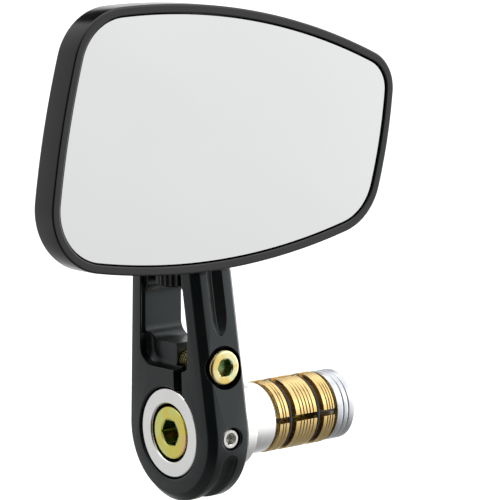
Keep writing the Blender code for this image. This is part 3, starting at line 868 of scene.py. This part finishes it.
def build_bushing():
    """Polished bushing with broken edges and a relief groove at its shoulder."""
    end = CONE_START + CONE_LENGTH
    end_r = CONE_R - CONE_SLOPE * CONE_LENGTH
    profile = [
        (BUSH_X0, (COUNTERBORE_R + BUSH_R) / 2),
        (BUSH_X0, BUSH_R - BUSH_EDGE),
        (BUSH_X0 + BUSH_EDGE, BUSH_R),
        (0.0, BUSH_R),
        (0.0, SPIGOT_R + 0.5),
        (0.0, SPIGOT_R),
        (RELIEF_X[0], SPIGOT_R - GROOVE_DEPTH),
        (RELIEF_X[1], SPIGOT_R),
        (CONE_START, SPIGOT_R),
        (CONE_START, CONE_R),
        (end, end_r),
        (end, BOLT_HOLE_R),
        (COUNTERBORE_X, BOLT_HOLE_R),
        (COUNTERBORE_X, COUNTERBORE_R),
        (BUSH_X0 + BUSH_EDGE, COUNTERBORE_R),
        (BUSH_X0, COUNTERBORE_R + BUSH_EDGE),
    ]
    body = spin("X", (0, 0), eased(profile, 0.18), 192, closed=True)
    stands_for(make_object("bushing_detail", body), "bushing")


def build_cone_nut():
    """Threaded cone with broken edges and two turned witness grooves."""
    low, high = NUT_X
    shoulder = low + CONE_LENGTH
    profile = [
        (low, BOLT_HOLE_R + 0.3),
        (low, CONE_R - CONE_SLOPE * CONE_LENGTH),
        (shoulder, CONE_R),
        (shoulder, SPIGOT_R),
    ]
    for x in NUT_GROOVE_X:
        profile += [(x, SPIGOT_R), (x + 0.2, SPIGOT_R - GROOVE_DEPTH), (x + 0.4, SPIGOT_R)]
    profile += [
        (high - 0.6, SPIGOT_R),
        (high, SPIGOT_R - 0.6),
        (high, BOLT_HOLE_R + 0.4),
        (high - 0.4, BOLT_HOLE_R),
        (low + 0.3, BOLT_HOLE_R),
    ]
    body = spin("X", (0, 0), eased(profile, 0.12, 3), 160, closed=True)
    stands_for(make_object("cone_nut_detail", body), "cone_nut")


def build_jaws():
    """Four expander jaws with turned grip grooves between their ring seats."""
    lean = GAP / cos(atan(CONE_SLOPE))
    low, high = SEGMENT_X
    end_r = CONE_R - CONE_SLOPE * (low - CONE_START) + lean
    taper = (end_r - SEGMENT_BORE_R) / CONE_SLOPE
    profile = [(low, end_r), (low, SEGMENT_R - 0.3), (low + 0.3, SEGMENT_R)]
    before, after = RING_SEAT_X
    marks = [(x, "ring") for x in RING_X] + [(x, "grip") for x in GRIP_X]
    for x, kind in sorted(marks):
        if kind == "ring":
            profile += [(x - before, SEGMENT_R), (x - before, RING_SEAT_R)]
            profile += [(x + after, RING_SEAT_R), (x + after, SEGMENT_R)]
        else:
            profile += [(x, SEGMENT_R), (x + 0.22, SEGMENT_R - 0.2), (x + 0.44, SEGMENT_R)]
    profile += [(high - 0.3, SEGMENT_R), (high, SEGMENT_R - 0.3), (high, end_r)]
    profile += [(high - taper, SEGMENT_BORE_R), (low + taper, SEGMENT_BORE_R)]
    for number in range(4):
        node = "expander_jaw_%d" % (number + 1)
        middle = radians(45 + 90 * number)
        angles = [middle + radians(SEGMENT_ANGLE) * (i / 40 - 0.5) for i in range(41)]
        rings = [[around("X", (0, 0), x, r, a) for x, r in profile] for a in angles]
        stands_for(make_object(node + "_detail", loft(rings)), node)


def build_rings():
    """Elastic rings that keep the jaws together."""
    for number, x in enumerate(RING_X):
        node = "jaw_ring_%d" % (number + 1)
        turns = [2 * pi * i / 20 for i in range(20)]
        profile = [(x + RING_WIRE_R * cos(t), RING_R + RING_WIRE_R * sin(t)) for t in turns]
        ring = spin("X", (0, 0), profile, 128, closed=True)
        stands_for(make_object(node + "_detail", ring), node, 60.0)


def build_pivot_parts():
    """Thumbwheel, cap, stud and lock nut."""
    centre = (ARM_MID, PIVOT_Y)
    low, high = WHEEL_Z
    grip = ridged(WHEEL_R, WHEEL_TOOTH_DEPTH, WHEEL_TEETH)
    profile = [(low, 1.6), (low, 2.2), (low, WHEEL_R - 1.1), (low + 0.15, WHEEL_R - 0.75)]
    profile += [(low + 0.5, grip), (high - 0.5, grip), (high - 0.15, WHEEL_R - 0.75)]
    profile += [(high, WHEEL_R - 1.1), (high, PLUG_R), *WHEEL_PLUG_TOP]
    wheel = make_object("adjuster_wheel_detail", spin("Z", centre, profile, 288))
    stands_for(wheel, "adjuster_wheel")
    low, high = CAP_Z
    profile = [(low, PLUG_R - 0.2), (low + 0.2, PLUG_R), (high - 0.4, PLUG_R), (high, PLUG_R - 0.4)]
    profile += socket(high, -1.0, PLUG_FLATS, PLUG_SOCKET_DEPTH)
    stands_for(make_object("pivot_cap_detail", spin("Z", centre, profile, 144)), "pivot_cap")
    centre = (ARM_MID, PIVOT_Z)
    profile = [*STUD_NECK, *thread(*STUD_THREAD_Y, M6_PITCH, M6_R, 0.5), *STUD_POINT]
    stands_for(make_object("pivot_stud_detail", spin("Y", centre, profile, 96)), "pivot_stud")
    hexagon = hexed(LOCK_NUT_FLATS)
    near, far = LOCK_NUT_Y

    def chamfered(depth):
        return lambda angle: min(hexagon(angle), LOCK_NUT_CORNER_R + depth * 1.8)

    outer = [(near + d, chamfered(d)) for d in (0.0, 0.1, 0.2, 0.3, 0.5)]
    outer += [(far - d, chamfered(d)) for d in (0.5, 0.3, 0.2, 0.1, 0.0)]
    wide = STUD_HOLE_R + 0.3
    inner = [(far, wide), (far - 0.3, STUD_HOLE_R), (near + 0.3, STUD_HOLE_R), (near, wide)]
    nut = spin("Y", centre, outer + inner, 144, closed=True)
    stands_for(make_object("stud_lock_nut_detail", nut), "stud_lock_nut")


# ---------------------------------------------------------------- mirror head
def corner_centre(index):
    """Centre of the fillet between side arc index - 1 and side arc index."""
    x1, z1, r1 = SIDE_ARCS[index - 1]
    x2, z2, r2 = SIDE_ARCS[index]
    r = CORNER_R[index]
    a = r1 - r
    b = r2 - r
    d = hypot(x2 - x1, z2 - z1)
    along = (d * d + a * a - b * b) / (2 * d)
    across = sqrt(a * a - along * along)
    ex, ez = (x2 - x1) / d, (z2 - z1) / d
    centres = []
    for side in (across, -across):
        centres.append((x1 + ex * along - ez * side, z1 + ez * along + ex * side))
    return min(centres, key=lambda p: hypot(p[0] + 17.0, p[1] - 75.0))


def head_outline(inset, side_steps=44, corner_steps=28):
    """Head outline in (x, z), clockwise from the top left corner, pulled in by the inset."""
    centres = [corner_centre(i) for i in range(4)]
    points = []
    for i in range(4):
        x, z, r = SIDE_ARCS[i]
        px, pz, _ = SIDE_ARCS[i - 1]
        cx, cz = centres[i]
        nx, nz = centres[(i + 1) % 4]
        first = atan2(cz - pz, cx - px)
        start = atan2(cz - z, cx - x)
        stop = atan2(nz - z, nx - x)
        turn = (first - start) % (2 * pi)
        for k in range(corner_steps):
            a = first - turn * k / corner_steps
            reach = CORNER_R[i] - inset
            points.append((cx + reach * cos(a), cz + reach * sin(a)))
        turn = (start - stop) % (2 * pi)
        for k in range(side_steps):
            a = start - turn * k / side_steps
            points.append((x + (r - inset) * cos(a), z + (r - inset) * sin(a)))
    return points


def head_ring(inset, y):
    """Head outline as points at the depth y."""
    return [Vector((x, y, z)) for x, z in head_outline(inset)]


def build_shell():
    """Machined tray of the mirror head, with a boss for the stud on its back."""
    lip = [(RIM_WIDTH, FLOOR_Y), (RIM_WIDTH, RIM_Y), (0.0, RIM_Y)]
    rings = eased(lip, 0.3, 6)[:-1]
    for k in range(9):
        t = 0.5 * pi * k / 8
        rings.append((RIM_ROUND * (1 - sin(t)), RIM_Y + RIM_ROUND * (1 - cos(t))))
    for k in range(9):
        t = 0.5 * pi * k / 8
        rings.append((BACK_ROUND * (1 - cos(t)), WALL_END_Y + BACK_ROUND * sin(t)))
    for k in range(1, 7):
        t = k / 6
        inset = BACK_ROUND + CROWN_RISE * t
        rings.append((inset, BACK_Y + (CROWN_Y - BACK_Y) * sin(0.5 * pi * t)))
    shell = make_object("mirror_shell_detail", loft([head_ring(i, y) for i, y in rings]))
    centre = (ARM_MID, PIVOT_Z)
    boss = [(BOSS_START_Y, BOSS_R), (BOSS_Y - 0.4, BOSS_R)]
    boss += [(BOSS_Y - 0.12, BOSS_R - 0.12), (BOSS_Y, BOSS_R - 0.4)]
    cut(shell, spin("Y", centre, boss, 128), "UNION")
    hole = [(-18.3, STUD_HOLE_R), (BOSS_Y - 0.25, STUD_HOLE_R), (-14.0, STUD_HOLE_R + 1.5)]
    cut(shell, spin("Y", centre, hole, 96))
    stands_for(shell, "mirror_shell")


def build_glass():
    """Slightly domed mirror glass with a ground edge."""
    front, back = GLASS_Y
    edge = head_outline(RIM_WIDTH + GAP)
    mid_x = sum(p[0] for p in edge) / len(edge)
    mid_z = sum(p[1] for p in edge) / len(edge)
    rings = [[Vector((x, back, z)) for x, z in edge]]
    rings.append([Vector((x, front + 0.25, z)) for x, z in edge])
    for k in range(28):
        share = 0.996 * (1 - k / 28)
        y = front - GLASS_CROWN * (1 - share * share)
        flat = [(mid_x + share * (x - mid_x), mid_z + share * (z - mid_z)) for x, z in edge]
        rings.append([Vector((x, y, z)) for x, z in flat])
    stands_for(make_object("mirror_glass_detail", loft(rings)), "mirror_glass")


build_arm()
cap_screw("pinch_screw", "Y", (ARM_MID, PINCH_Z), PINCH_HEAD_Y,
          (PINCH_HEAD_R, PINCH_HEAD_H, PINCH_KNURLS, PINCH_HEAD_EDGE),
          M5_R, PINCH_TIP_Y, PINCH_FLATS, PINCH_THREAD_Y, M5_PITCH)
cap_screw("centre_bolt", "X", (0.0, 0.0), BUSH_X0 + BOLT_SINK,
          (BOLT_HEAD_R, BOLT_HEAD_H, BOLT_KNURLS, BOLT_HEAD_EDGE),
          BOLT_R, BOLT_TIP_X, BOLT_FLATS, BOLT_THREAD_X, M8_PITCH)
build_set_screw()
build_bushing()
build_cone_nut()
build_jaws()
build_rings()
build_pivot_parts()
build_shell()
build_glass()


# ---------------------------------------------------------------- stage
FLOOR_HALF = 12.0
FLOOR_Z = -0.075
CAMERA_AZIMUTH = radians(-38.16)
CAMERA_ELEVATION = radians(8.74)
CAMERA_ROLL = radians(1.65)
CAMERA_PLACE = (-0.5353, -0.6912, 0.1773)
CAMERA_LENS = 258.8
CAMERA_SENSOR = 36.0
# Soft patches of the studio: direction, outer and inner angle, level away and level towards.
STUDIO_PATCHES = (
    ((0.95, -0.20, 0.40), 75.0, 0.0, 0.96, 1.50),
    ((1.00, -0.05, 0.05), 38.0, 18.0, 1.0, 1.9),
    ((0.58, -0.70, 0.42), 20.0, 6.0, 1.0, 1.8),
    ((-0.62, 0.76, -0.14), 70.0, 20.0, 1.0, 0.70),
    ((-0.72, -0.69, -0.05), 58.0, 30.0, 1.0, 0.05),
    ((0.34, 0.70, 0.63), 21.0, 14.0, 1.0, 0.03),
    ((0.0, 0.0, -1.0), 75.0, 30.0, 1.0, 0.30),
)


def floor():
    """Wide pale floor."""
    bm = bmesh.new()
    for x, y in ((-1, -1), (1, -1), (1, 1), (-1, 1)):
        bm.verts.new((x * FLOOR_HALF, y * FLOOR_HALF, 0.0))
    bm.faces.new(bm.verts)
    mesh = bpy.data.meshes.new("floor")
    bm.to_mesh(mesh)
    bm.free()
    plane = bpy.data.objects.new("floor", mesh)
    bpy.context.scene.collection.objects.link(plane)
    plane.location = (0.0, 0.0, FLOOR_Z)
    plane.visible_glossy = False
    g = Graph("floor_white", (0.93, 0.93, 0.93), 0.9)
    g.set("Specular IOR Level", 0.0)
    g.colour(g.ramp(g.noise(2.0), ((0.3, (0.925, 0.925, 0.925)), (0.7, (0.935, 0.935, 0.935)))))
    mesh.materials.append(g.mat)


def studio():
    """White room with soft patches, some dark and some bright, that only reflections and light see."""
    world = bpy.data.worlds.new("studio")
    bpy.context.scene.world = world
    world.use_nodes = True
    tree = world.node_tree
    back = tree.nodes["Background"]
    back.inputs["Color"].default_value = (1.0, 1.0, 1.0, 1.0)
    coords = tree.nodes.new("ShaderNodeTexCoord")

    def patch(direction, outer, inner, away, towards):
        """Level `away` from a direction and `towards` it, blended between two angles."""
        dot = tree.nodes.new("ShaderNodeVectorMath")
        dot.operation = "DOT_PRODUCT"
        dot.inputs[1].default_value = Vector(direction).normalized()
        tree.links.new(coords.outputs["Generated"], dot.inputs[0])
        span = tree.nodes.new("ShaderNodeMapRange")
        span.interpolation_type = "SMOOTHSTEP"
        span.inputs["From Min"].default_value = cos(radians(outer))
        span.inputs["From Max"].default_value = cos(radians(inner))
        span.inputs["To Min"].default_value = away
        span.inputs["To Max"].default_value = towards
        tree.links.new(dot.outputs["Value"], span.inputs["Value"])
        return span.outputs["Result"]

    level = None
    for direction, outer, inner, away, towards in STUDIO_PATCHES:
        here = patch(direction, outer, inner, away, towards)
        if level is None:
            level = here
            continue
        made = tree.nodes.new("ShaderNodeMath")
        made.operation = "MULTIPLY"
        tree.links.new(level, made.inputs[0])
        tree.links.new(here, made.inputs[1])
        level = made.outputs["Value"]
    path = tree.nodes.new("ShaderNodeLightPath")
    mix = tree.nodes.new("ShaderNodeMix")
    mix.data_type = "FLOAT"
    tree.links.new(path.outputs["Is Camera Ray"], mix.inputs["Factor"])
    tree.links.new(level, mix.inputs[2])
    mix.inputs[3].default_value = 1.0
    tree.links.new(mix.outputs[0], back.inputs["Strength"])


def area_light(name, place, target, size, power):
    """Soft box aimed at a point."""
    data = bpy.data.lights.new(name, "AREA")
    data.shape = "RECTANGLE"
    data.size, data.size_y = size
    data.energy = power
    lamp = bpy.data.objects.new(name, data)
    bpy.context.scene.collection.objects.link(lamp)
    lamp.location = place
    lamp.rotation_euler = (Vector(target) - Vector(place)).to_track_quat("-Z", "Y").to_euler()


def camera():
    """Long lens, in front of the glass and to its left."""
    azimuth, elevation, roll = CAMERA_AZIMUTH, CAMERA_ELEVATION, CAMERA_ROLL
    back = Vector((sin(azimuth) * cos(elevation), -cos(azimuth) * cos(elevation), sin(elevation)))
    right = Vector((cos(azimuth), sin(azimuth), 0.0))
    up = back.cross(right)
    turned_right = right * cos(roll) - up * sin(roll)
    turned_up = right * sin(roll) + up * cos(roll)
    data = bpy.data.cameras.new("camera")
    data.lens = CAMERA_LENS
    data.sensor_width = CAMERA_SENSOR
    data.clip_start = 0.05
    data.clip_end = 20.0
    cam = bpy.data.objects.new("camera", data)
    bpy.context.scene.collection.objects.link(cam)
    matrix = Matrix((turned_right, turned_up, back)).transposed().to_4x4()
    matrix.translation = Vector(CAMERA_PLACE)
    cam.matrix_world = matrix
    bpy.context.scene.camera = cam


floor()
studio()
camera()
area_light("top_box", (0.1, 0.2, 1.6), (0.0, 0.0, 0.05), (1.6, 1.6), 9.0)
area_light("floor_wash", (2.0, 2.6, 2.6), (1.6, 2.2, 0.0), (4.0, 4.0), 60.0)
bpy.data.objects["floor_wash"].visible_glossy = False
bpy.context.scene.view_settings.view_transform = "Standard"
